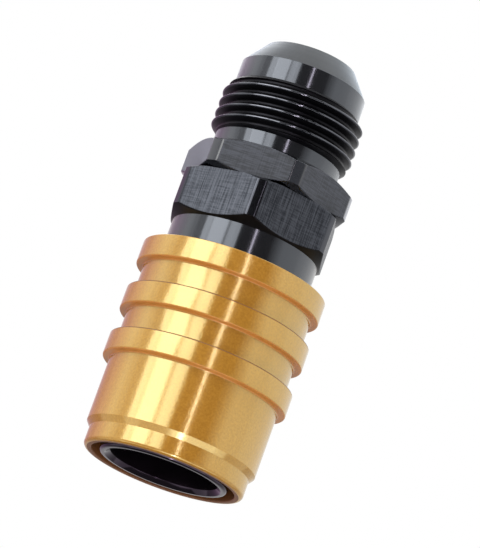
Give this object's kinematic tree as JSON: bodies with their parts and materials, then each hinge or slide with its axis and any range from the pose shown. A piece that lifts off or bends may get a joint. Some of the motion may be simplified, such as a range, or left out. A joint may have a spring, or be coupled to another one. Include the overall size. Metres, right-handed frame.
{
  "type": "quick coupling",
  "caption": "Quick coupling socket: a sprung gold release sleeve over a black body with locking balls, a poppet valve and a male flare end.",
  "frame": {"origin": "centre of the mouth that takes the plug, on the sleeve's end face", "axes": "+Z along the axis from the mouth to the flare tip, X and Y across it"},
  "size_m": [0.035, 0.035, 0.0822],
  "materials": {
    "gold_anodised": "gold anodised, fine turned",
    "black_anodised": "black anodised, satin",
    "plain_aluminium": "plain turned",
    "spring_steel": "drawn wire",
    "bearing_steel": "polished",
    "seal_rubber": "matt",
    "backup_plastic": "matt off-white"
  },
  "bodies": {
    "socket": {"socket_body": "black_anodised", "flare_adapter": "black_anodised", "adapter_o_ring": "seal_rubber", "valve_guide": "plain_aluminium", "bore_seal": "seal_rubber", "bore_backup_ring": "backup_plastic", "sleeve_retaining_ring": "spring_steel"},
    "sleeve_carriage": {"sleeve_spring": "spring_steel"},
    "sleeve": {"release_sleeve": "gold_anodised"},
    "valve": {"valve_poppet": "plain_aluminium", "poppet_seal": "seal_rubber", "valve_spring": "spring_steel"},
    "ball_1": {"locking_ball_1": "bearing_steel"},
    "ball_2": {"locking_ball_2": "bearing_steel"},
    "ball_3": {"locking_ball_3": "bearing_steel"},
    "ball_4": {"locking_ball_4": "bearing_steel"},
    "ball_5": {"locking_ball_5": "bearing_steel"},
    "ball_6": {"locking_ball_6": "bearing_steel"},
    "ball_7": {"locking_ball_7": "bearing_steel"},
    "ball_8": {"locking_ball_8": "bearing_steel"}
  },
  "joints": [
    {"name": "sleeve_slide", "type": "slide", "parent": "socket", "child": "sleeve_carriage", "axis": [0, 0, 1], "range_m": [0, 0.0045], "stiffness_N_per_m": 420, "springref_m": -0.0175, "deforming": ["sleeve_spring"]},
    {"name": "sleeve_spin", "type": "hinge", "parent": "sleeve_carriage", "child": "sleeve", "pos_m": [0, 0, 0], "axis": [0, 0, 1], "continuous": true},
    {"name": "valve_slide", "type": "slide", "parent": "socket", "child": "valve", "axis": [0, 0, 1], "range_m": [0, 0.006], "stiffness_N_per_m": 1230, "springref_m": -0.006, "deforming": ["valve_spring"]},
    {"name": "ball_1_slide", "type": "slide", "parent": "socket", "child": "ball_1", "axis": [0, 1, 0], "range_m": [0, 0.00117]},
    {"name": "ball_2_slide", "type": "slide", "parent": "socket", "child": "ball_2", "axis": [-0.7071, 0.7071, 0], "range_m": [0, 0.00117]},
    {"name": "ball_3_slide", "type": "slide", "parent": "socket", "child": "ball_3", "axis": [-1, 0, 0], "range_m": [0, 0.00117]},
    {"name": "ball_4_slide", "type": "slide", "parent": "socket", "child": "ball_4", "axis": [-0.7071, -0.7071, 0], "range_m": [0, 0.00117]},
    {"name": "ball_5_slide", "type": "slide", "parent": "socket", "child": "ball_5", "axis": [0, -1, 0], "range_m": [0, 0.00117]},
    {"name": "ball_6_slide", "type": "slide", "parent": "socket", "child": "ball_6", "axis": [0.7071, -0.7071, 0], "range_m": [0, 0.00117]},
    {"name": "ball_7_slide", "type": "slide", "parent": "socket", "child": "ball_7", "axis": [1, 0, 0], "range_m": [0, 0.00117]},
    {"name": "ball_8_slide", "type": "slide", "parent": "socket", "child": "ball_8", "axis": [0.7071, 0.7071, 0], "range_m": [0, 0.00117]}
  ],
  "couplings": [
    {"joint": "ball_1_slide", "follows": "sleeve_slide", "ratio": 0.25889},
    {"joint": "ball_2_slide", "follows": "sleeve_slide", "ratio": 0.25889},
    {"joint": "ball_3_slide", "follows": "sleeve_slide", "ratio": 0.25889},
    {"joint": "ball_4_slide", "follows": "sleeve_slide", "ratio": 0.25889},
    {"joint": "ball_5_slide", "follows": "sleeve_slide", "ratio": 0.25889},
    {"joint": "ball_6_slide", "follows": "sleeve_slide", "ratio": 0.25889},
    {"joint": "ball_7_slide", "follows": "sleeve_slide", "ratio": 0.25889},
    {"joint": "ball_8_slide", "follows": "sleeve_slide", "ratio": 0.25889}
  ]
}
